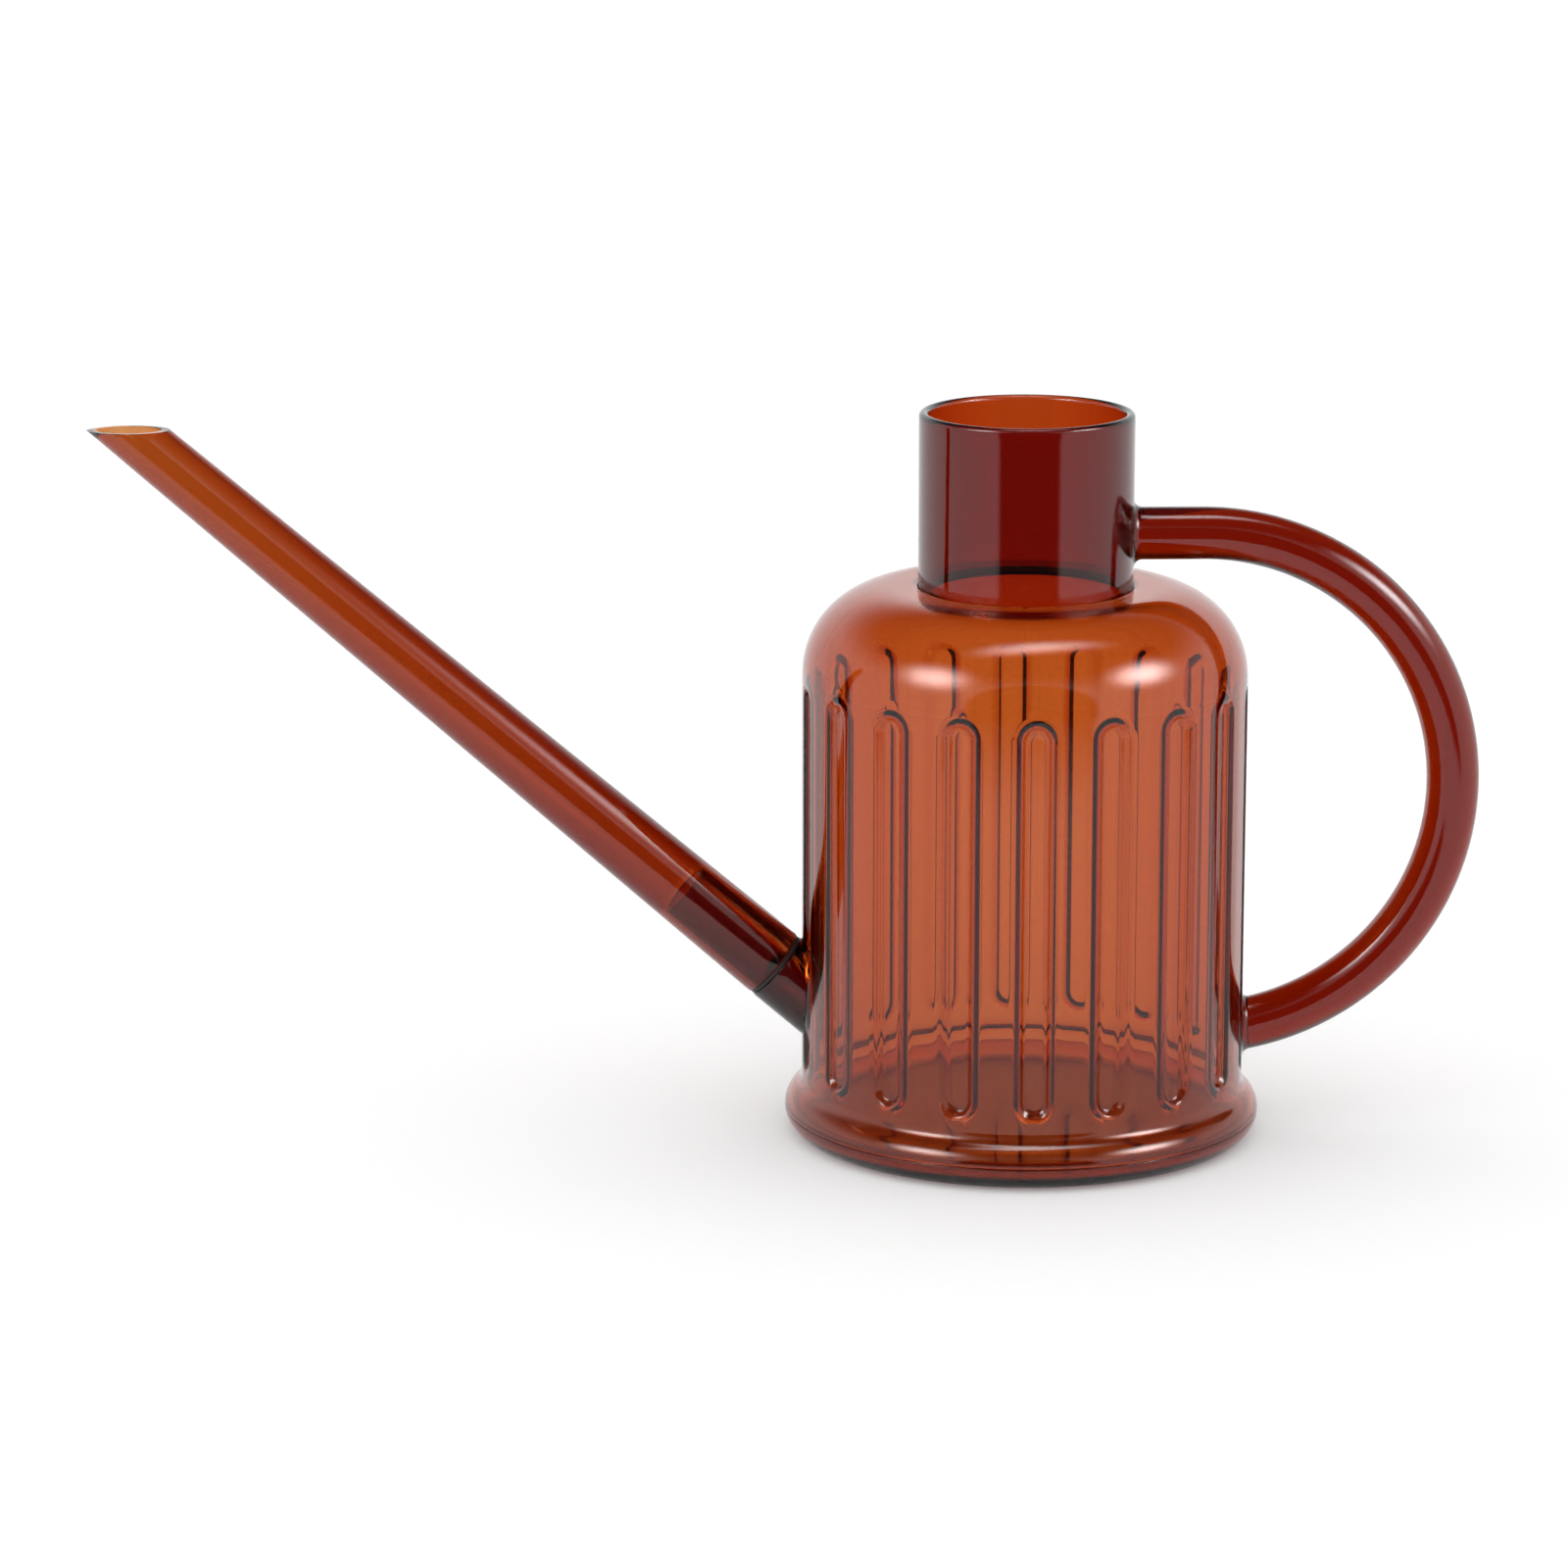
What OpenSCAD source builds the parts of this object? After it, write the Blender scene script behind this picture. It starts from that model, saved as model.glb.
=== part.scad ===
// Long-spouted indoor watering can moulded in clear amber plastic.
// The origin is on the body's axis in the plane the can stands on.
// The spout points along -X and the handle along +X.

/* [Body] */
// Outside diameter of the body's straight side
body_d = 110; // [96:1:134]
// Wall thickness of the body
body_wall = 2; // [1.6:0.1:2.6]
// Height at which the side starts to curve into the shoulder
shoulder_z = 116; // [100:1:145]
// Radius of the shoulder's curve
shoulder_r = 22; // [16:1:26]

/* [Flutes] */
// Number of upright flutes round the side, an even number leaves the spout and handle between two
flute_n = 18; // [14:4:22]
// Width of a flute
flute_w = 7; // [6:0.2:10]
// Depth of a flute, which stands inwards as a rib of the same height
flute_depth = 1.6; // [0.5:0.1:1.8]
// Distance by which a rib reaches past its flute all round
rib_margin = 1; // [0.8:0.1:1.4]
// Plain strip between the foot's hollow curve and the ribs' lower ends
low_strip = 0.6; // [0.2:0.1:8]
// Plain strip between the ribs' upper ends and the shoulder's curve
high_strip = 0.3; // [0.2:0.1:10]

/* [Foot] */
// Radius of the rounded foot in section
foot_r = 6; // [4.5:0.5:7]
// Distance by which the foot stands out beyond the body's side
foot_flare = 4.2; // [3.4:0.1:5]
// Radius of the hollow curve between the side and the foot
foot_fillet_r = 4; // [3:0.5:5]
// Thickness of the floor
floor_t = 3.2; // [2.4:0.1:4]
// Height of the weld tongue on the base pan
tongue_h = 0.8; // [0.6:0.1:1.6]

/* [Filler neck] */
// Outside diameter of the neck
neck_d = 53; // [44:1:64]
// Wall thickness of the neck
neck_wall = 2.4; // [2:0.1:3]
// Height of the neck above the shoulder
neck_h = 43.3; // [40:0.5:52]
// Share of the shoulder's wall taken by the rebate that the neck is bonded into
rebate_share = 0.6; // [0.4:0.05:0.7]

/* [Spout] */
// Height at which the spout's axis meets the body's side
spout_z = 36.3; // [34:0.1:50]
// Rise of the spout above level, in degrees
spout_tilt = 40.65; // [38:0.05:46]
// Drop from the neck's rim down to the level mouth of the spout
mouth_drop = 3.9; // [0:0.1:20]
// Outside diameter at the spout's lower end
spout_d = 18.3; // [17.6:0.1:20]
// Outside diameter at the spout's mouth
mouth_d = 13.2; // [12.4:0.1:15]
// Diameter of the bore at the mouth
mouth_bore_d = 10.6; // [8:0.1:11]
// Length of the stub's collar along the spout's axis
stub_len = 8.3; // [7.5:0.1:12]
// Diameter of the spigot that the spout is pushed over
spigot_d = 14.4; // [12:0.1:15]
// Wall thickness of the spigot
spigot_wall = 1.8; // [1.4:0.1:2.4]
// Length of the spigot inside the spout
spigot_len = 29; // [20:0.5:36]
// Gap left between the spigot's end and the step in the spout's bore
spigot_end_gap = 1.3; // [0.4:0.1:2]
// Thickness of the seal between the collar and the spout
seal_t = 1.2; // [0.8:0.1:2]

/* [Handle] */
// Diameter of the handle's solid rod
grip_d = 13; // [11:0.2:16]
// Radius of the handle's bend, to the middle of the rod
grip_r = 63; // [60:0.5:72]
// Distance from the bend's centre out to the body's side
grip_inset = 11.5; // [9:0.5:16]
// Drop from the neck's rim down to the middle of the handle's upper run
grip_drop = 30.3; // [26:0.1:33]
// Radius of the fillet at each root
root_fillet = 2; // [1:0.1:2.4]

/* [Fits] */
// Radial gap of a bonded joint
bond_gap = 0.05; // [0.03:0.01:0.1]
// Radial running gap between the spigot and the spout
running_gap = 0.08; // [0.05:0.01:0.1]

/* [Hidden] */
$fn = 64;
eps = 0.01;
arc_steps = 12;
clear_amber = [0.70, 0.33, 0.16, 0.6];
deep_amber = [0.48, 0.17, 0.08, 0.75];
seal_black = [0.12, 0.09, 0.08];

body_r = body_d / 2;
bore_r = body_r - body_wall;
shoulder_top = shoulder_z + shoulder_r;
rim_z = shoulder_top + neck_h;
neck_r = neck_d / 2;
neck_bore_r = neck_r - neck_wall;
neck_z = shoulder_top - rebate_share * body_wall;

// The foot's section is a round of radius foot_r that the side runs out to on a hollow fillet.
foot_cx = body_r + foot_flare - foot_r;
fillet_cx = body_r + foot_fillet_r;
fillet_angle = acos((fillet_cx - foot_cx) / (foot_r + foot_fillet_r));
fillet_z = foot_r + (foot_r + foot_fillet_r) * sin(fillet_angle);
flute_low = fillet_z + low_strip + rib_margin + flute_w / 2;
flute_high = shoulder_z - high_strip - rib_margin - flute_w / 2;
tongue_r = foot_cx + foot_r - body_wall - 0.7;

spout_r = spout_d / 2;
spigot_r = spigot_d / 2;
seal_s = stub_len;
tube_s = stub_len + seal_t;
spigot_end_s = tube_s + spigot_len;
step_s = spigot_end_s + spigot_end_gap;
mouth_z = rim_z - mouth_drop;
mouth_s = (mouth_z - spout_z) / sin(spout_tilt);
tip_s = mouth_s + mouth_d / 2 / tan(spout_tilt) + 2;

grip_rod_r = grip_d / 2;
grip_x = body_r - grip_inset;
grip_z = rim_z - grip_drop - grip_r;
root_angle = acos(grip_inset / grip_r);
root_z = grip_z - grip_r * sin(root_angle);
pad_margin = 1.6;

// Points on an arc about c, from angle a to angle b.
function arc(c, r, a, b) =
    [for (i = [0 : arc_steps]) let (t = a + (b - a) * i / arc_steps) c + r * [cos(t), sin(t)]];

// Places something made along +Z so that it runs out along the spout's axis.
module on_spout_axis() {
    translate([-body_r, 0, spout_z]) rotate([0, spout_tilt - 90, 0]) children();
}

// Places something made along +Z at the handle's lower root, pointing out along the rod.
module on_lower_root() {
    translate([body_r, 0, root_z]) rotate([0, root_angle, 0]) children();
}

module tube(r_out, r_in, z0, z1) {
    difference() {
        translate([0, 0, z0]) cylinder(r = r_out, h = z1 - z0);
        translate([0, 0, z0 - 1]) cylinder(r = r_in, h = z1 - z0 + 2);
    }
}

// Section of the body's wall: foot, side, shoulder and the rebate for the neck.
module body_section() {
    polygon(concat(
        arc([foot_cx, foot_r], foot_r, 0, fillet_angle),
        arc([fillet_cx, fillet_z], foot_fillet_r, 180 + fillet_angle, 180),
        arc([body_r - shoulder_r, shoulder_z], shoulder_r, 0, 90),
        [[neck_r + bond_gap, shoulder_top], [neck_r + bond_gap, neck_z], [neck_bore_r, neck_z],
            [neck_bore_r, shoulder_top - body_wall]],
        arc([body_r - shoulder_r, shoulder_z], shoulder_r - body_wall, 90, 0),
        arc([fillet_cx, fillet_z], foot_fillet_r + body_wall, 180, 180 + fillet_angle),
        arc([foot_cx, foot_r], foot_r - body_wall, fillet_angle, 0)
    ));
}

// One flute or rib as a round-ended upright block between radii r0 and r1, which reaches past
// the flute's outline by the margin all round.
module flute_block(r0, r1, margin) {
    half = flute_w / 2 + margin;
    intersection() {
        tube(r1, r0, flute_low - half - 1, flute_high + half + 1);
        rotate([90, 0, 0]) linear_extrude(height = body_r + 5) union() {
            translate([-half, flute_low]) square([2 * half, flute_high - flute_low]);
            translate([0, flute_low]) circle(r = half);
            translate([0, flute_high]) circle(r = half);
        }
    }
}

module flute_ring(r0, r1, margin) {
    difference() {
        for (i = [0 : flute_n - 1]) rotate([0, 0, i * 360 / flute_n]) flute_block(r0, r1, margin);
        // The wall stays plain round the spout's root and the handle's root.
        on_spout_axis() translate([0, 0, -30]) cylinder(r = spout_r + pad_margin - margin, h = 50);
        on_lower_root() translate([0, 0, -20])
            cylinder(r = grip_rod_r + root_fillet + pad_margin - margin, h = 40);
    }
}

module body_shell() {
    color(clear_amber) difference() {
        union() {
            rotate_extrude() body_section();
            flute_ring(bore_r - flute_depth, bore_r + eps, rib_margin);
        }
        flute_ring(body_r - flute_depth, body_r + 2, 0);
        on_spout_axis() translate([0, 0, -30]) cylinder(r = spout_r + bond_gap, h = 50);
    }
}

module base_pan() {
    color(deep_amber) rotate_extrude() polygon(concat(
        [[0, 0]],
        arc([foot_cx, foot_r], foot_r, -90, 0),
        [[tongue_r, foot_r], [tongue_r, foot_r + tongue_h],
            [tongue_r - 1.2, foot_r + tongue_h], [tongue_r - 1.2, floor_t], [0, floor_t]]
    ));
}

module filler_neck() {
    color(deep_amber) rotate_extrude() polygon(concat(
        [[neck_bore_r, neck_z], [neck_r, neck_z]],
        arc([neck_r - neck_wall / 2, rim_z - neck_wall / 2], neck_wall / 2, 0, 180)
    ));
}

// Fillet of revolution that flares from the rod onto the wall it is bonded to. It ends on a
// small step, because the bent rod leaves a true tangent at once.
module root_flare() {
    flare_r = grip_rod_r + root_fillet;
    end_angle = 200;
    rotate_extrude() polygon(concat(
        [[0, root_fillet * (1 + sin(end_angle))], [0, -root_fillet], [flare_r, -root_fillet]],
        arc([flare_r, root_fillet], root_fillet, 270, end_angle)
    ));
}

// A solid rod: a straight run out of the neck, then a bend down and back onto the body's side.
module handle() {
    color(deep_amber) difference() {
        union() {
            translate([grip_x, 0, grip_z]) rotate([90, 0, 0])
                rotate_extrude(angle = 93 + root_angle, start = -root_angle - 3)
                    translate([grip_r, 0]) circle(r = grip_rod_r);
            translate([neck_bore_r, 0, grip_z + grip_r]) rotate([0, 90, 0])
                cylinder(r = grip_rod_r, h = grip_x - neck_bore_r + eps);
            translate([neck_r, 0, grip_z + grip_r]) rotate([0, 90, 0]) root_flare();
            on_lower_root() root_flare();
        }
        translate([0, 0, shoulder_top]) cylinder(r = neck_r, h = neck_h + 1);
        cylinder(r = body_r, h = shoulder_top);
    }
}

module spout_stub() {
    color(deep_amber) difference() {
        on_spout_axis() union() {
            translate([0, 0, -30]) cylinder(r = spout_r, h = 30 + stub_len);
            cylinder(r = spigot_r, h = spigot_end_s);
        }
        on_spout_axis() translate([0, 0, -31]) cylinder(r = spigot_r - spigot_wall, h = 40 + spigot_end_s);
        cylinder(r = bore_r, h = rim_z);
    }
}

module spout_seal() {
    color(seal_black) on_spout_axis() tube(spout_r - 0.3, spigot_r + running_gap, seal_s, tube_s);
}

module spout_tube() {
    taper = (spout_r - mouth_d / 2) / (mouth_s - tube_s);
    step_bore_r = spigot_r - 0.4;
    bore_taper = (step_bore_r - mouth_bore_d / 2) / (mouth_s - step_s);
    socket_r = spigot_r + running_gap;
    color(deep_amber) difference() {
        on_spout_axis() rotate_extrude() polygon([
            [socket_r, tube_s], [spout_r, tube_s],
            [spout_r - taper * (tip_s - tube_s), tip_s],
            [step_bore_r - bore_taper * (tip_s - step_s), tip_s],
            [step_bore_r, step_s], [socket_r, step_s]
        ]);
        translate([-mouth_s - body_r - 20, -20, mouth_z]) cube([mouth_s + 40, 40, 40]);
    }
}

body_shell();
base_pan();
filler_neck();
handle();
spout_stub();
spout_seal();
spout_tube();
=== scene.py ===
# A long-spouted watering can in clear amber plastic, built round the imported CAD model.
# Metres, +Z up. The can stands on the origin, the spout points along -X and the handle along +X.
import math
import bmesh
import bpy
from mathutils import Matrix, Vector


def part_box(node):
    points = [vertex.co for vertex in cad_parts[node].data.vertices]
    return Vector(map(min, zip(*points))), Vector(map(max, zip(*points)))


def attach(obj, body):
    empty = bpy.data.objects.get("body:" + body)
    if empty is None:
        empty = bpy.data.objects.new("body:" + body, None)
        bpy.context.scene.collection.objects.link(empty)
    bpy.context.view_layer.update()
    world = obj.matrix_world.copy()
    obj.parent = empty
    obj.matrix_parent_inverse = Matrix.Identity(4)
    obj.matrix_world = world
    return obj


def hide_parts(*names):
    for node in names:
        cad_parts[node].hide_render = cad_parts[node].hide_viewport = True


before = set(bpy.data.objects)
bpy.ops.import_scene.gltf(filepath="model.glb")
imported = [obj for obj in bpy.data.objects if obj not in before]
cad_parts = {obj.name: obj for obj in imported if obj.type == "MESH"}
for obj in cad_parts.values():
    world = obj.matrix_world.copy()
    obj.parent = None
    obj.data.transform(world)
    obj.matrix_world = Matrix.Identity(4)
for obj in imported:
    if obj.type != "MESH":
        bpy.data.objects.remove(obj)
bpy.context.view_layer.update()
mm = 0.001
turnAxis = (0, 0, 1)
weld = 0.001 * mm               # points nearer than this become one


# Outlines and the pieces turned from them

def arc(centre, radius, start, end, steps):
    # points of a round stretch, angles in degrees
    angles = [math.radians(start + (end - start) * i / steps) for i in range(steps + 1)]
    return [(centre[0] + radius * math.cos(a), centre[1] + radius * math.sin(a)) for a in angles]


def line(start, end, steps):
    # evenly spaced points between two ends, without the ends themselves
    return [(start[0] + (end[0] - start[0]) * i / steps, start[1] + (end[1] - start[1]) * i / steps)
            for i in range(1, steps)]


def smooth(low, high, value):
    # 0 below low, 1 above high, an even rise between
    t = min(1, max(0, (value - low) / (high - low)))
    return t * t * (3 - 2 * t)


def turned(outline, steps, closed=True):
    # lathe work: an outline of (radius, height) turned once round Z
    mesh = bmesh.new()
    ring = [mesh.verts.new((radius, 0, height)) for radius, height in outline]
    pairs = list(zip(ring, ring[1:]))
    if closed:
        pairs.append((ring[-1], ring[0]))
    edges = [mesh.edges.new(pair) for pair in pairs]
    bmesh.ops.spin(mesh, geom=ring + edges, cent=(0, 0, 0), axis=turnAxis,
                   angle=math.tau, steps=steps, use_merge=True)
    bmesh.ops.remove_doubles(mesh, verts=mesh.verts, dist=weld)
    bmesh.ops.recalc_face_normals(mesh, faces=mesh.faces)
    return mesh


def finished(name, mesh, body, node, material, sharpAngle=40):
    # turns a bmesh into a piece that rides on its body and stands for its CAD node
    if mesh.calc_volume(signed=True) < 0:
        bmesh.ops.reverse_faces(mesh, faces=mesh.faces)
    data = bpy.data.meshes.new(name)
    mesh.to_mesh(data)
    mesh.free()
    data.shade_smooth()
    data.set_sharp_from_angle(angle=math.radians(sharpAngle))
    piece = bpy.data.objects.new(name, data)
    bpy.context.scene.collection.objects.link(piece)
    data.materials.append(material)
    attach(piece, body)
    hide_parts(node)
    print("made", name, len(data.polygons), "faces")
    return piece


# Materials

class Wire:
    # a node's output that takes part in plain arithmetic
    def __init__(self, sheet, socket):
        self.sheet = sheet
        self.socket = socket

    def __add__(self, other):
        return self.sheet.maths("ADD", self, other)

    def __mul__(self, other):
        return self.sheet.maths("MULTIPLY", self, other)

    def __sub__(self, other):
        return self.sheet.maths("SUBTRACT", self, other)

    def __rsub__(self, other):
        return self.sheet.maths("SUBTRACT", other, self)

    __radd__ = __add__
    __rmul__ = __mul__


class Sheet:
    # one node tree and the only way that nodes are added to it
    def __init__(self, tree):
        self.tree = tree
        self.tree.nodes.clear()

    def node(self, kind, settings=None, inputs=None, output=0):
        made = self.tree.nodes.new(kind)
        for key, value in (settings or {}).items():
            if key == "stops":
                self.setStops(made.color_ramp, value)
            else:
                setattr(made, key, value)
        for key, value in (inputs or {}).items():
            if isinstance(value, Wire):
                self.tree.links.new(value.socket, made.inputs[key])
            else:
                made.inputs[key].default_value = value
        return Wire(self, made.outputs[output]) if made.outputs else made

    def setStops(self, ramp, stops):
        while len(ramp.elements) < len(stops):
            ramp.elements.new(1)
        for element, (place, colour) in zip(ramp.elements, stops):
            element.position = place
            element.color = (*colour, 1)

    def maths(self, operation, *values):
        return self.node("ShaderNodeMath", {"operation": operation}, dict(enumerate(values)))


def newMaterial(name):
    material = bpy.data.materials.new(name)
    material.use_nodes = True
    return material, Sheet(material.node_tree)


def amberPlastic(name, values):
    # see-through moulded plastic: the colour is in the depth of the wall, the surface is polished
    material, sheet = newMaterial(name)
    place = sheet.node("ShaderNodeTexCoord", output="Object")
    smudge = sheet.node("ShaderNodeTexNoise", {}, {"Vector": place, "Scale": 34.0, "Detail": 3.0,
                                                  "Roughness": 0.55})
    speck = sheet.node("ShaderNodeTexNoise", {}, {"Vector": place, "Scale": 900.0, "Detail": 2.0})
    flow = sheet.node("ShaderNodeTexNoise", {}, {"Vector": place, "Scale": values["flowScale"],
                                                 "Detail": 1.5, "Distortion": 0.6})
    roughness = values["polish"] + smudge * smudge * values["smudge"] + speck * 0.006
    tint = sheet.node("ShaderNodeValToRGB", {"stops": [(0.3, values["tintLow"]), (0.7, (1, 1, 1))]},
                      {"Fac": flow})
    ripple = sheet.node("ShaderNodeBump", {}, {"Strength": values["ripple"], "Distance": 0.2 * mm,
                                               "Height": flow})
    surface = sheet.node("ShaderNodeBsdfPrincipled", {}, {
        "Base Color": tint, "Roughness": roughness, "Normal": ripple,
        "Transmission Weight": 1.0, "IOR": values["ior"]})
    depth = sheet.node("ShaderNodeVolumeAbsorption", {}, {
        "Color": (*values["passes"], 1), "Density": values["density"]})
    sheet.node("ShaderNodeOutputMaterial", {}, {"Surface": surface, "Volume": depth})
    return material


plastics = {
    "clearAmber": {"ior": 1.5, "passes": (0.84, 0.46, 0.0), "density": 1100.0, "polish": 0.006,
                   "smudge": 0.03, "ripple": 0.02, "flowScale": 22.0, "tintLow": (0.97, 0.965, 0.96)},
    "deepAmber": {"ior": 1.5, "passes": (0.84, 0.48, 0.12), "density": 2500.0, "polish": 0.006,
                  "smudge": 0.025, "ripple": 0.008, "flowScale": 30.0, "tintLow": (0.97, 0.965, 0.96)},
    "spoutAmber": {"ior": 1.5, "passes": (0.84, 0.55, 0.2), "density": 2300.0, "polish": 0.006,
                   "smudge": 0.025, "ripple": 0.008, "flowScale": 26.0, "tintLow": (0.97, 0.965, 0.96)},
    "gripAmber": {"ior": 1.5, "passes": (0.86, 0.58, 0.2), "density": 1000.0, "polish": 0.006,
                  "smudge": 0.025, "ripple": 0.008, "flowScale": 26.0, "tintLow": (0.97, 0.965, 0.96)},
}
clearAmber, deepAmber, spoutAmber, gripAmber = [amberPlastic(name, plastics[name]) for name in plastics]


def sealRubber(name):
    material, sheet = newMaterial(name)
    place = sheet.node("ShaderNodeTexCoord", output="Object")
    grain = sheet.node("ShaderNodeTexNoise", {}, {"Vector": place, "Scale": 1600.0, "Detail": 3.0})
    bloom = sheet.node("ShaderNodeTexNoise", {}, {"Vector": place, "Scale": 180.0, "Detail": 2.0})
    colour = sheet.node("ShaderNodeValToRGB", {"stops": [(0.35, (0.012, 0.007, 0.006)),
                                                         (0.75, (0.03, 0.018, 0.015))]}, {"Fac": bloom})
    bump = sheet.node("ShaderNodeBump", {}, {"Strength": 0.25, "Distance": 0.05 * mm, "Height": grain})
    surface = sheet.node("ShaderNodeBsdfPrincipled", {}, {
        "Base Color": colour, "Roughness": 0.45 + grain * 0.2, "Normal": bump})
    sheet.node("ShaderNodeOutputMaterial", {}, {"Surface": surface})
    return material


blackSeal = sealRubber("sealRubber")
print("materials ready")


# The body, and the places on it that the other pieces share

shell = {
    "sideRadius": 55 * mm,      # outside of the straight side
    "wall": 2 * mm,
    "shoulderRadius": 22 * mm,
    "footRadius": 6 * mm,       # round of the foot
    "filletRadius": 4 * mm,     # hollow between side and foot
    "rebate": 1.2 * mm,         # the neck sits this deep in the shoulder's wall
    "edge": 0.3 * mm,           # rounding of the moulded edges
    "fluteCount": 18,
    "fluteFlat": 1.2 * mm,      # half width of a flute's flat middle
    "fluteFlank": 3.2 * mm,     # half width at the steepest part of its flank
    "fluteHalf": 5.7 * mm,      # half width where it leaves the side
    "fluteSoft": 0.3 * mm,      # the smaller, the steeper the flank
    "fluteDepth": 1.7 * mm,
    "ribWider": 1.4 * mm,       # the rib on the inner face is this much wider on each side
    "fluteLow": 15.2 * mm,
    "fluteHigh": 116.2 * mm,
    "sideColumns": 16,          # columns of faces in half a flute's share of the side
    "endRows": 12,              # rows of faces over a flute's round end
    "middleRows": 14,
    "seatGap": 0.05 * mm,
    "spoutHole": 9.2 * mm,      # radius of the hole for the stub
    "spoutPad": (10.2 * mm, 12.6 * mm),     # flutes fade in between these distances from a root
    "gripPad": (9.5 * mm, 11.5 * mm),
    "gripRootZ": 26.06 * mm,
    "sharpAngle": 40,
}
axes = {
    "spoutHeight": 36.3 * mm,   # where the spout's axis meets the side
    "spoutTilt": 40.65,
    "gripCentre": (43.5 * mm, 0, 88 * mm),
    "gripThick": 6.5 * mm,      # radius of the rod
    "neckBore": 24.1 * mm,
}
bodyLow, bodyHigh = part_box("body_shell")
neckLow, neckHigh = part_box("filler_neck")
panLow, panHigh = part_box("base_pan")
shoulderTop = bodyHigh.z
seamZ = bodyLow.z
footOuter = bodyHigh.y
neckRadius = neckHigh.y
neckBore = axes["neckBore"]
spoutRoot = Vector((-shell["sideRadius"], 0, axes["spoutHeight"]))
spoutTilt = math.radians(axes["spoutTilt"])
spoutDirection = Vector((-math.cos(spoutTilt), 0, math.sin(spoutTilt)))
gripCentre = Vector(axes["gripCentre"])
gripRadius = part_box("handle")[1].x - gripCentre.x - axes["gripThick"]
footCentre = (footOuter - shell["footRadius"], seamZ)
shoulderCentre = (shell["sideRadius"] - shell["shoulderRadius"], shoulderTop - shell["shoulderRadius"])
filletCentreR = shell["sideRadius"] + shell["filletRadius"]
reach = shell["footRadius"] + shell["filletRadius"]
filletAngle = math.degrees(math.acos((filletCentreR - footCentre[0]) / reach))
filletCentre = (filletCentreR, seamZ + reach * math.sin(math.radians(filletAngle)))


def sideHeights():
    # heights of the rows up the side, closer together over the flutes' round ends
    low, high, end = shell["fluteLow"], shell["fluteHigh"], shell["fluteHalf"]
    start, stop = filletCentre[1], shoulderCentre[1]
    ends = shell["endRows"]
    lower = [low + 1.3 * end * i / ends for i in range(1, ends + 1)]
    upper = [high - 1.3 * end * i / ends for i in range(ends, 0, -1)]
    middle = [z for _, z in line((0, lower[-1]), (0, upper[0]), shell["middleRows"])]
    return [z for z in lower + middle + upper if start + 0.2 * mm < z < stop - 0.2 * mm]


def shellOutline():
    wall, edge = shell["wall"], shell["edge"]
    side, bore = shell["sideRadius"], shell["sideRadius"] - shell["wall"]
    seatR, seatZ = neckRadius + shell["seatGap"], shoulderTop - shell["rebate"]
    under = shoulderTop - wall
    foot, fillet, shoulder = shell["footRadius"], shell["filletRadius"], shell["shoulderRadius"]
    heights = sideHeights()
    outside = (
        arc((footCentre[0] + foot - edge, seamZ + edge), edge, -90, 0, 3)[:-1]
        + arc(footCentre, foot, math.degrees(math.asin(edge / foot)), filletAngle, 11)
        + arc(filletCentre, fillet, 180 + filletAngle, 180, 8)[1:]
        + [(side, z) for z in heights]
        + arc(shoulderCentre, shoulder, 0, 90, 18)
        + line((shoulderCentre[0], shoulderTop), (seatR + edge, shoulderTop), 3)
        + arc((seatR + edge, shoulderTop - edge), edge, 90, 180, 3)
    )
    seat = [(seatR, seatZ), (neckBore + edge, seatZ)] + arc(
        (neckBore + edge, seatZ - edge), edge, 90, 180, 2)[1:] + arc(
        (neckBore + edge, under + edge), edge, 180, 270, 2) + line(
        (neckBore + edge, under), (shoulderCentre[0], under), 4)
    inside = (
        arc(shoulderCentre, shoulder - wall, 90, 0, 14)
        + [(bore, z) for z in reversed(heights)]
        + arc(filletCentre, fillet + wall, 180, 180 + filletAngle, 7)
        + arc(footCentre, foot - wall, filletAngle, 0, 7)[1:]
    )
    return outside + seat + inside


def spreadColumns(mesh):
    # gathers the evenly turned columns over the flutes' curved flanks
    half, count = shell["sideColumns"], shell["fluteCount"]
    share = math.tau / count
    flat, rim = shell["fluteFlat"] / shell["sideRadius"], shell["fluteHalf"] / shell["sideRadius"]
    stations = [0, flat * 0.6] + [flat + (rim - flat) * i / (half - 4) for i in range(half - 3)]
    stations += [rim + (share / 2 - rim) * part for part in (0.3, 1)]
    for vert in mesh.verts:
        angle = math.atan2(vert.co.y, vert.co.x) + math.pi / 2
        sector = round(angle / share)
        offset = angle / share - sector
        step = min(half, round(abs(offset) * 2 * half))
        moved = sector * share + math.copysign(stations[step], offset) - math.pi / 2
        radius = math.hypot(vert.co.x, vert.co.y)
        vert.co.x, vert.co.y = radius * math.cos(moved), radius * math.sin(moved)


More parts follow.
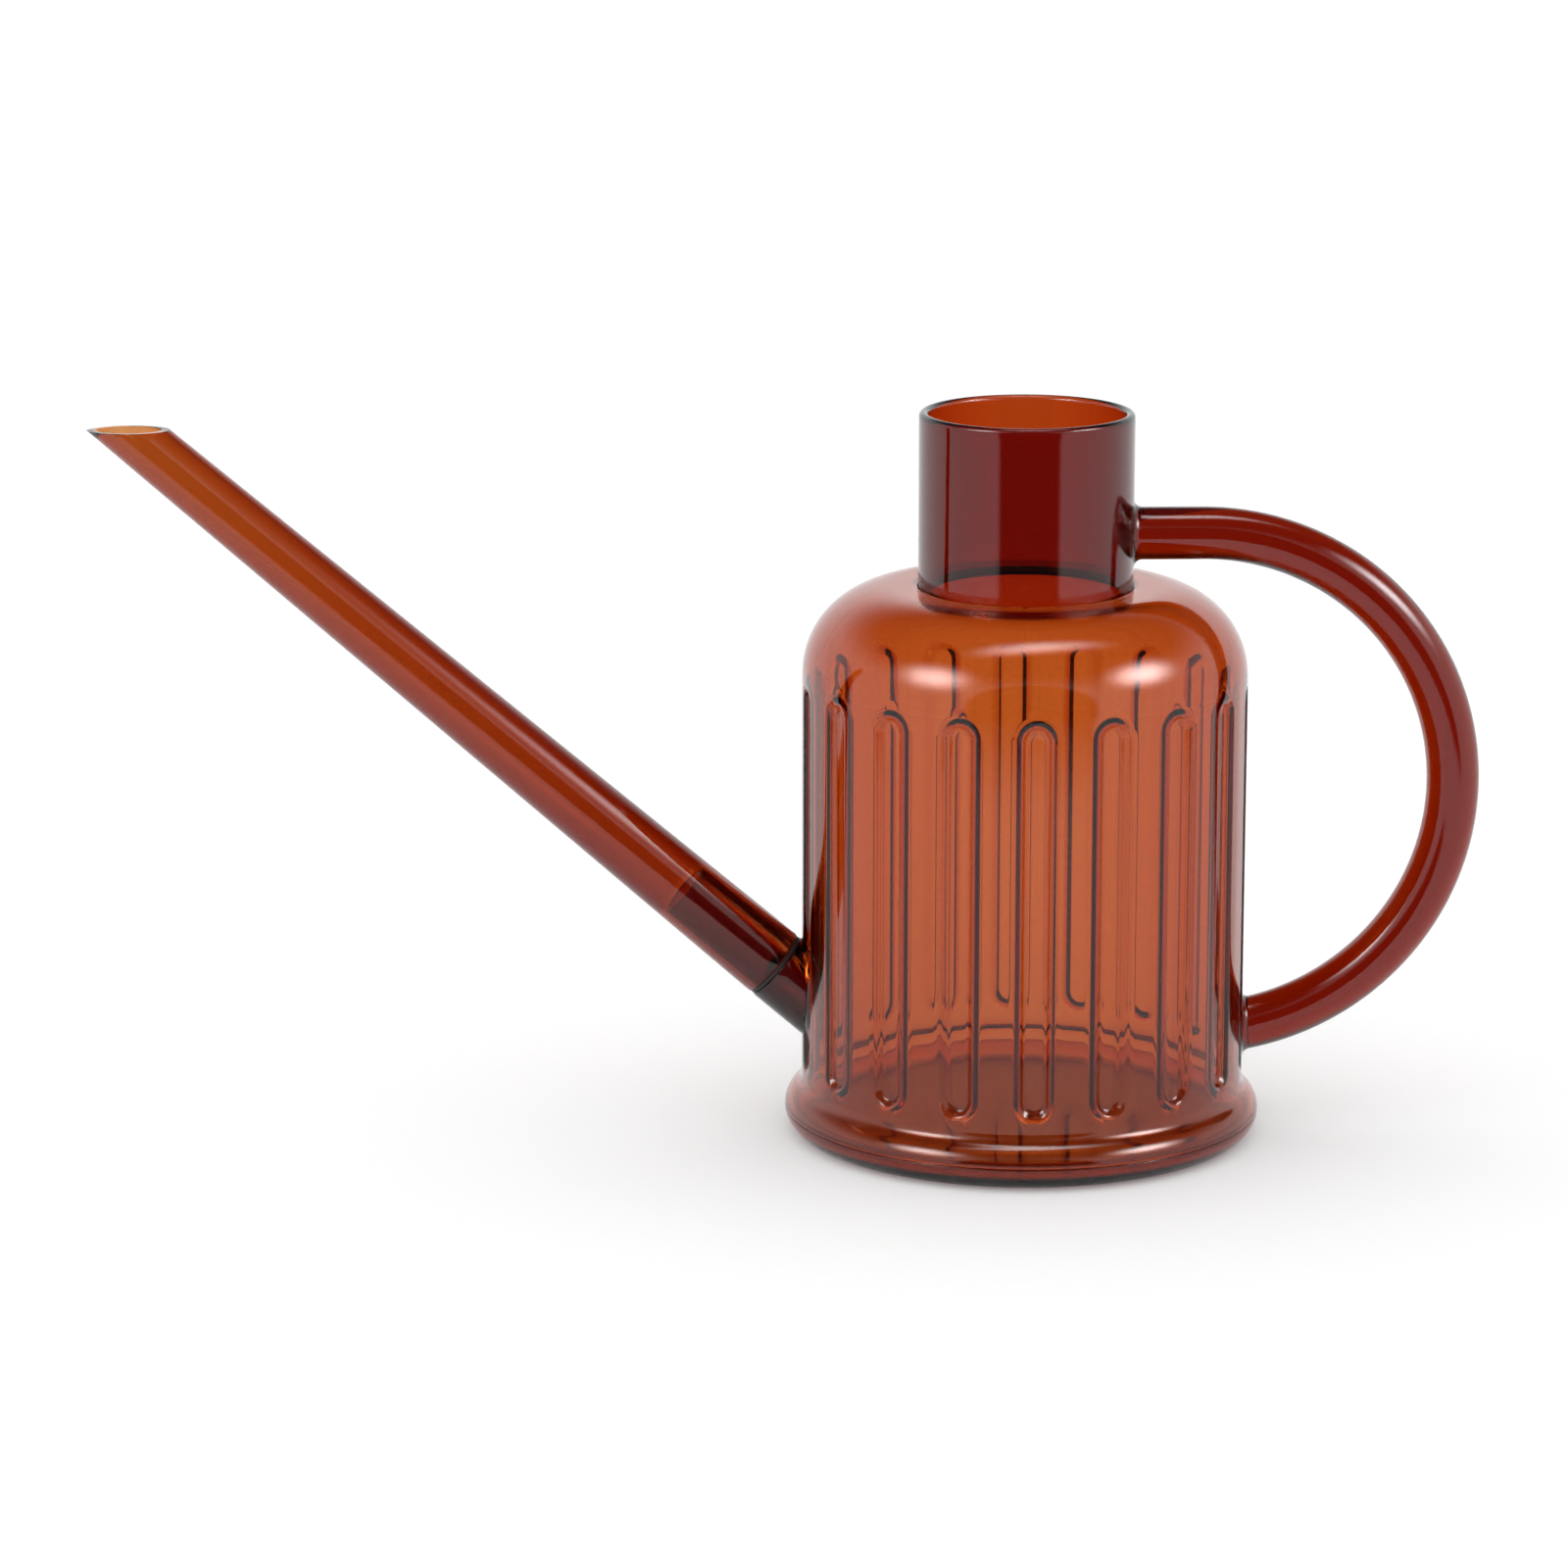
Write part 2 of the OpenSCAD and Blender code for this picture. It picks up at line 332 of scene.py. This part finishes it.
def pressFlutes(mesh):
    # sinks the upright flutes into both faces of the wall, and leaves the roots' pads plain
    half, soft = shell["fluteHalf"], shell["fluteSoft"]
    low, high = shell["fluteLow"] + half, shell["fluteHigh"] - half
    share = math.tau / shell["fluteCount"]
    for vert in mesh.verts:
        z = vert.co.z
        if not shell["fluteLow"] < z < shell["fluteHigh"]:
            continue
        angle = math.atan2(vert.co.y, vert.co.x) + math.pi / 2
        across = (angle - share * round(angle / share)) * shell["sideRadius"]
        beyond = max(low - z, 0, z - high)
        away = math.hypot(across, beyond)
        radius = math.hypot(vert.co.x, vert.co.y)
        inner = radius < shell["sideRadius"] - shell["wall"] / 2
        flank = shell["fluteFlank"] + (shell["ribWider"] if inner else 0)
        sink = shell["fluteDepth"] * (1 - math.tanh((away - flank) / (2 * soft))) / 2
        sink *= 1 - smooth(half - 0.6 * mm, half, away)
        onSpout = (vert.co - spoutRoot).cross(spoutDirection).length
        sink *= smooth(*shell["spoutPad"], onSpout) if vert.co.x < 0 else 1
        onGrip = math.hypot(vert.co.y, z - shell["gripRootZ"])
        sink *= smooth(*shell["gripPad"], onGrip) if vert.co.x > 0 else 1
        vert.co.x *= (radius - sink) / radius
        vert.co.y *= (radius - sink) / radius


def cutSpoutHole(piece):
    # the hole that the spout's stub is bonded into
    mesh = bmesh.new()
    turn = Vector(turnAxis).rotation_difference(spoutDirection).to_matrix().to_4x4()
    bmesh.ops.create_cone(mesh, cap_ends=True, segments=96, radius1=shell["spoutHole"],
                          radius2=shell["spoutHole"], depth=40 * mm,
                          matrix=Matrix.Translation(spoutRoot) @ turn)
    data = bpy.data.meshes.new("spoutHole")
    mesh.to_mesh(data)
    mesh.free()
    cutter = bpy.data.objects.new("spoutHole", data)
    bpy.context.scene.collection.objects.link(cutter)
    cut = piece.modifiers.new("spoutHole", "BOOLEAN")
    cut.operation, cut.solver, cut.object = "DIFFERENCE", "EXACT", cutter
    bpy.context.view_layer.update()
    cutData = bpy.data.meshes.new_from_object(piece.evaluated_get(bpy.context.evaluated_depsgraph_get()))
    piece.modifiers.clear()
    bpy.data.objects.remove(cutter)
    piece.data = cutData
    cutData.set_sharp_from_angle(angle=math.radians(shell["sharpAngle"]))


def makeShell():
    mesh = turned(shellOutline(), 2 * shell["sideColumns"] * shell["fluteCount"])
    spreadColumns(mesh)
    pressFlutes(mesh)
    piece = finished("bodyShell", mesh, "can", "body_shell", clearAmber)
    cutSpoutHole(piece)
    return piece


makeShell()


# The base pan

pan = {
    "floor": 3.2 * mm,
    "tongueOuter": 56.5 * mm,   # weld tongue inside the foot
    "tongueWall": 1.2 * mm,
    "tongueHeight": 0.8 * mm,
    "edge": 0.3 * mm,
    "gap": 0.02 * mm,           # hair line at the seam
}


def makePan():
    foot, edge = shell["footRadius"], pan["edge"]
    outer, top = pan["tongueOuter"], seamZ + pan["tongueHeight"]
    inner = outer - pan["tongueWall"]
    outline = (
        [(0, 0)] + line((0, 0), (footCentre[0], 0), 6)
        + arc(footCentre, foot, -90, -math.degrees(math.asin((edge + pan["gap"]) / foot)), 12)
        + arc((footOuter - edge, seamZ - edge - pan["gap"]), edge, 0, 90, 3)[1:]
        + [(outer, seamZ - pan["gap"])]
        + arc((outer - edge, top - edge), edge, 0, 90, 2)
        + arc((inner + edge, top - edge), edge, 90, 180, 2)
        + arc((inner - 1 * mm, pan["floor"] + 1 * mm), 1 * mm, 0, -90, 5)
        + line((inner - 1 * mm, pan["floor"]), (0, pan["floor"]), 6) + [(0, pan["floor"])]
    )
    return finished("basePan", turned(outline, 192, closed=False), "can", "base_pan",
                    clearAmber)


makePan()


# The filler neck

neck = {"wall": 2.4 * mm, "edge": 0.3 * mm}


def makeNeck():
    wall, edge = neck["wall"], neck["edge"]
    rim, low = neckHigh.z, neckLow.z + 0.02 * mm
    outline = (
        arc((neckBore + edge, low + edge), edge, 180, 270, 2)
        + arc((neckRadius - edge, low + edge), edge, 270, 360, 2)
        + line((neckRadius, low + edge), (neckRadius, rim - wall / 2), 24)
        + arc((neckRadius - wall / 2, rim - wall / 2), wall / 2, 0, 180, 14)
        + line((neckBore, rim - wall / 2), (neckBore, low + edge), 24)
    )
    return finished("fillerNeck", turned(outline, 192), "can", "filler_neck", deepAmber)


makeNeck()


# The handle

grip = {
    "radius": axes["gripThick"],
    "fillet": 2 * mm,           # flare at each root
    "gap": 0.03 * mm,
    "settle": 12 * mm,          # run over which a root's rings turn to follow its wall
}


def wallDepth(wallRadius, y):
    # how far out a round wall is at y
    return math.sqrt(wallRadius ** 2 - y ** 2)


def makeGrip():
    # turned straight, then bent round and run onto the neck and the body
    radius, fillet = grip["radius"], grip["fillet"]
    straight = gripCentre.x - neckRadius
    rootAngle = math.acos((shell["sideRadius"] - gripCentre.x) / gripRadius)
    length = straight + gripRadius * (math.pi / 2 + rootAngle)
    start, end = grip["gap"], length - grip["gap"]
    wide = radius + fillet
    outline = (
        [(0, start)] + line((0, start), (wide, start), 5)
        + arc((wide, start + fillet), fillet, 270, 180, 8)
        + line((radius, start + fillet), (radius, end - fillet), 110)
        + arc((wide, end - fillet), fillet, 180, 90, 8)
        + line((wide, end), (0, end), 5) + [(0, end)]
    )
    mesh = turned(outline, 56, closed=False)
    for vert in mesh.verts:
        out, y, run = vert.co.x, vert.co.y, vert.co.z
        if run < straight:
            follow = (1 - run / straight) * (wallDepth(neckRadius, y) - neckRadius)
            vert.co = (neckRadius + run + follow, y, gripCentre.z + gripRadius + out)
            continue
        angle = math.pi / 2 - (run - straight) / gripRadius
        left = length - run
        if left < grip["settle"]:
            target = (wallDepth(shell["sideRadius"], y) + left - gripCentre.x) / (gripRadius + out)
            angle += (1 - smooth(0, grip["settle"], left)) * (-math.acos(target) - angle)
        vert.co = gripCentre + (gripRadius + out) * Vector((math.cos(angle), 0, math.sin(angle)))
        vert.co.y = y
    return finished("handleRod", mesh, "can", "handle", gripAmber)


makeGrip()


# The stub, the seal and the spout, all on one slanting axis

spout = {
    "collar": 9.15 * mm,        # outside radius at the lower end
    "mouth": 6.6 * mm,          # outside radius at the mouth
    "mouthBore": 5.3 * mm,
    "spigot": 7.2 * mm,
    "spigotBore": 5.4 * mm,
    "sealStart": 8.3 * mm,      # runs along the spout's axis, from the body's side
    "sealEnd": 9.5 * mm,
    "spigotEnd": 38.5 * mm,
    "stepRun": 39.8 * mm,
    "socket": 7.28 * mm,
    "edge": 0.25 * mm,
}
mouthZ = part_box("spout_tube")[1].z


def ontoSpout(mesh):
    # stands work done round Z on the spout's axis
    turn = Vector(turnAxis).rotation_difference(spoutDirection).to_matrix().to_4x4()
    bmesh.ops.transform(mesh, matrix=Matrix.Translation(spoutRoot) @ turn, verts=mesh.verts)


def makeStub():
    collar, bore, edge = spout["collar"], spout["spigotBore"], spout["edge"]
    spigot, end = spout["spigot"], spout["spigotEnd"]
    inside = -14 * mm           # beyond the wall, drawn back onto it below
    outline = (
        [(collar, inside)] + line((collar, inside), (collar, spout["sealStart"] - edge), 14)
        + arc((collar - edge, spout["sealStart"] - edge), edge, 0, 90, 3)
        + [(spigot, spout["sealStart"])] + line((spigot, spout["sealStart"]), (spigot, end - edge), 16)
        + arc((spigot - edge, end - edge), edge, 0, 90, 3)
        + arc((bore + edge, end - edge), edge, 90, 180, 3)
        + line((bore, end - edge), (bore, inside), 26) + [(bore, inside)]
        + line((bore, inside), (collar, inside), 4)
    )
    mesh = turned(outline, 96)
    ontoSpout(mesh)
    wallInside = shell["sideRadius"] - shell["wall"]
    for vert in mesh.verts:
        if math.hypot(vert.co.x, vert.co.y) < wallInside and vert.co.x < 0:
            # slide back along the axis to the inner face of the body's wall
            target = -wallDepth(wallInside, vert.co.y)
            vert.co += spoutDirection * ((target - vert.co.x) / spoutDirection.x)
    bmesh.ops.remove_doubles(mesh, verts=mesh.verts, dist=weld)
    return finished("spoutStub", mesh, "can", "spout_stub", deepAmber)


def makeSeal():
    low, high = spout["socket"], spout["collar"] - 0.3 * mm
    start, end, edge = spout["sealStart"] + 0.01 * mm, spout["sealEnd"] - 0.01 * mm, 0.35 * mm
    outline = (
        arc((high - edge, start + edge), edge, -90, 0, 5) + arc((high - edge, end - edge), edge, 0, 90, 5)
        + [(low, end), (low, start)]
    )
    mesh = turned(outline, 96)
    ontoSpout(mesh)
    return finished("spoutSeal", mesh, "seal", "spout_seal", blackSeal)


def makeSpout():
    start, step, edge = spout["sealEnd"] + 0.01 * mm, spout["stepRun"], spout["edge"]
    length = (mouthZ - spoutRoot.z) / math.sin(spoutTilt)
    past = length + 20 * mm
    slope = (spout["collar"] - spout["mouth"]) / (length - start)
    stepBore = spout["spigot"] - 0.4 * mm
    boreSlope = (stepBore - spout["mouthBore"]) / (length - step)
    outline = (
        arc((spout["collar"] - edge, start + edge), edge, -90, 0, 3)
        + line((spout["collar"], start + edge), (spout["collar"] - slope * (past - start), past), 70)
        + [(spout["collar"] - slope * (past - start), past)]
        + [(stepBore - boreSlope * (past - step), past)]
        + line((stepBore - boreSlope * (past - step), past), (stepBore, step), 60)
        + [(stepBore, step), (spout["socket"], step)]
        + line((spout["socket"], step), (spout["socket"], start + edge), 14)
        + arc((spout["socket"] + edge, start + edge), edge, 180, 270, 3)
    )
    mesh = turned(outline, 96)
    ontoSpout(mesh)
    trim = bmesh.ops.bisect_plane(mesh, geom=mesh.verts[:] + mesh.edges[:] + mesh.faces[:],
                                  plane_co=(0, 0, mouthZ), plane_no=(0, 0, 1), clear_outer=True)
    rims = [e for e in trim["geom_cut"] if isinstance(e, bmesh.types.BMEdge)]
    lip = bmesh.ops.bridge_loops(mesh, edges=rims)["faces"]
    bmesh.ops.recalc_face_normals(mesh, faces=mesh.faces)
    rimEdges = [e for e in rims if e.is_valid]
    bmesh.ops.bevel(mesh, geom=rimEdges, affect="EDGES", offset=0.22 * mm, segments=2, profile=0.5,
                    material=-1, clamp_overlap=True)
    print("spout lip", len(lip), "faces")
    return finished("spoutTube", mesh, "spout", "spout_tube", spoutAmber)


makeStub()
makeSeal()
makeSpout()


# Camera, floor, room and lights

studio = {
    "azimuth": -1.07,           # degrees round from square on
    "pitch": 13.19,             # degrees down
    "distance": 1.4627,
    "lens": 135.65,
    "target": (-0.0594, 0, 0.0881),
    "floorRadius": 0.62,
    "floorFade": 0.42,
    "floorGlow": 0.16,          # white acrylic, lit a little from below
    "whiteLevel": 1.05,
    "roomLevel": 1.1,           # what the plastic mirrors and bends in from the white room
    "gapLevel": 0.05,           # and from the dark gap in front
}


softboxes = {
    # azimuth and elevation in degrees, distance, width, height, radiance
    "softboxLeft": (-55, 32, 1.6, 2.0, 1.5, 12.0),
    "softboxRight": (66, 31, 1.6, 2.0, 1.4, 16.0),
    "softboxTop": (20, 82, 1.5, 2.4, 0.9, 7.0),
}


def direction(azimuth, elevation):
    # unit vector from the can; azimuth 0 is in front, along -Y
    a, e = math.radians(azimuth), math.radians(elevation)
    return Vector((math.sin(a) * math.cos(e), -math.cos(a) * math.cos(e), math.sin(e)))


def makeCamera():
    data = bpy.data.cameras.new("camera")
    data.lens, data.sensor_width = studio["lens"], 36
    data.clip_start, data.clip_end = 0.05, 50
    camera = bpy.data.objects.new("camera", data)
    bpy.context.scene.collection.objects.link(camera)
    back = direction(studio["azimuth"], studio["pitch"])
    camera.location = Vector(studio["target"]) + back * studio["distance"]
    camera.rotation_euler = (-back).to_track_quat("-Z", "Y").to_euler()
    bpy.context.scene.camera = camera


def makeFloor():
    mesh = bmesh.new()
    bmesh.ops.create_circle(mesh, cap_ends=True, segments=128, radius=studio["floorRadius"])
    data = bpy.data.meshes.new("floor")
    mesh.to_mesh(data)
    mesh.free()
    floor = bpy.data.objects.new("floor", data)
    floor.location.z = panLow.z - 0.05 * mm
    bpy.context.scene.collection.objects.link(floor)
    material, sheet = newMaterial("paleFloor")
    place = sheet.node("ShaderNodeTexCoord", output="Object")
    away = sheet.node("ShaderNodeVectorMath", {"operation": "LENGTH"}, {0: place}, output="Value")
    clear = sheet.node("ShaderNodeMapRange", {"interpolation_type": "SMOOTHSTEP"}, {
        "Value": away, "From Min": studio["floorFade"], "From Max": studio["floorRadius"] * 0.98})
    paper = sheet.node("ShaderNodeTexNoise", {}, {"Vector": place, "Scale": 220.0, "Detail": 3.0})
    tone = sheet.node("ShaderNodeValToRGB", {"stops": [(0.3, (0.87, 0.87, 0.87)),
                                                       (0.7, (0.89, 0.89, 0.89))]}, {"Fac": paper})
    matt = sheet.node("ShaderNodeBsdfPrincipled", {}, {
        "Base Color": tone, "Roughness": 0.9, "Specular IOR Level": 0.0,
        "Emission Color": (1, 1, 1, 1), "Emission Strength": studio["floorGlow"]})
    gone = sheet.node("ShaderNodeBsdfTransparent")
    mixed = sheet.node("ShaderNodeMixShader", {}, {0: clear, 1: matt, 2: gone})
    sheet.node("ShaderNodeOutputMaterial", {}, {"Surface": mixed})
    data.materials.append(material)


def makeRoom():
    # a white room; polished faces see a dark gap in front and a dark ceiling
    world = bpy.data.worlds.new("room")
    bpy.context.scene.world = world
    world.use_nodes = True
    sheet = Sheet(world.node_tree)
    view = sheet.node("ShaderNodeTexCoord", output="Generated")
    depth = sheet.node("ShaderNodeVectorMath", {"operation": "DOT_PRODUCT"}, {0: view, 1: (0, -1, 0)},
                       output="Value")
    height = sheet.node("ShaderNodeVectorMath", {"operation": "DOT_PRODUCT"}, {0: view, 1: (0, 0, 1)},
                        output="Value")
    gap = sheet.node("ShaderNodeMapRange", {"interpolation_type": "SMOOTHSTEP"}, {
        "Value": depth, "From Min": 0.8, "From Max": 0.86})
    ceiling = sheet.node("ShaderNodeMapRange", {"interpolation_type": "SMOOTHSTEP"}, {
        "Value": height, "From Min": 0.3, "From Max": 0.7})
    dark = sheet.maths("MAXIMUM", gap, ceiling)
    level = studio["roomLevel"] + dark * (studio["gapLevel"] - studio["roomLevel"])
    mirrored = sheet.node("ShaderNodeBackground", {}, {"Color": (1, 1, 1, 1), "Strength": level})
    white = sheet.node("ShaderNodeBackground", {}, {"Color": (1, 1, 1, 1),
                                                    "Strength": studio["whiteLevel"]})
    seen = sheet.node("ShaderNodeLightPath", output="Is Camera Ray")
    spread = sheet.node("ShaderNodeLightPath", output="Is Diffuse Ray")
    plain = sheet.maths("MAXIMUM", seen, spread)
    mixed = sheet.node("ShaderNodeMixShader", {}, {0: plain, 1: mirrored, 2: white})
    sheet.node("ShaderNodeOutputWorld", {}, {"Surface": mixed})


def makeSoftbox(name, azimuth, elevation, distance, width, height, radiance):
    data = bpy.data.lights.new(name, "AREA")
    data.shape, data.size, data.size_y = "RECTANGLE", width, height
    data.energy = radiance * math.pi * width * height
    box = bpy.data.objects.new(name, data)
    bpy.context.scene.collection.objects.link(box)
    away = direction(azimuth, elevation)
    box.location = Vector((0, 0, 0.09)) + away * distance
    box.rotation_euler = away.to_track_quat("Z", "Y").to_euler()
    box.visible_camera = False
    box.visible_diffuse = False
    data.use_nodes = True
    sheet = Sheet(data.node_tree)
    place = sheet.node("ShaderNodeNewGeometry", output="Parametric")
    off = sheet.node("ShaderNodeVectorMath", {"operation": "DISTANCE"}, {0: place, 1: (0.5, 0.5, 0)},
                     output="Value")
    glow = sheet.node("ShaderNodeMapRange", {"interpolation_type": "SMOOTHSTEP"}, {
        "Value": off, "From Min": 0.03, "From Max": 0.5, "To Min": 1.0, "To Max": 0.0})
    lit = sheet.node("ShaderNodeEmission", {}, {"Strength": glow * glow * glow})
    sheet.node("ShaderNodeOutputLight", {}, {"Surface": lit})


makeCamera()
makeFloor()
makeRoom()
for boxName, place in softboxes.items():
    makeSoftbox(boxName, *place)

scene = bpy.context.scene
scene.view_settings.view_transform = "Standard"
scene.cycles.max_bounces = 32
scene.cycles.transmission_bounces = 28
scene.cycles.glossy_bounces = 12
scene.cycles.transparent_max_bounces = 16
scene.cycles.sample_clamp_indirect = 4.0
print("studio ready")
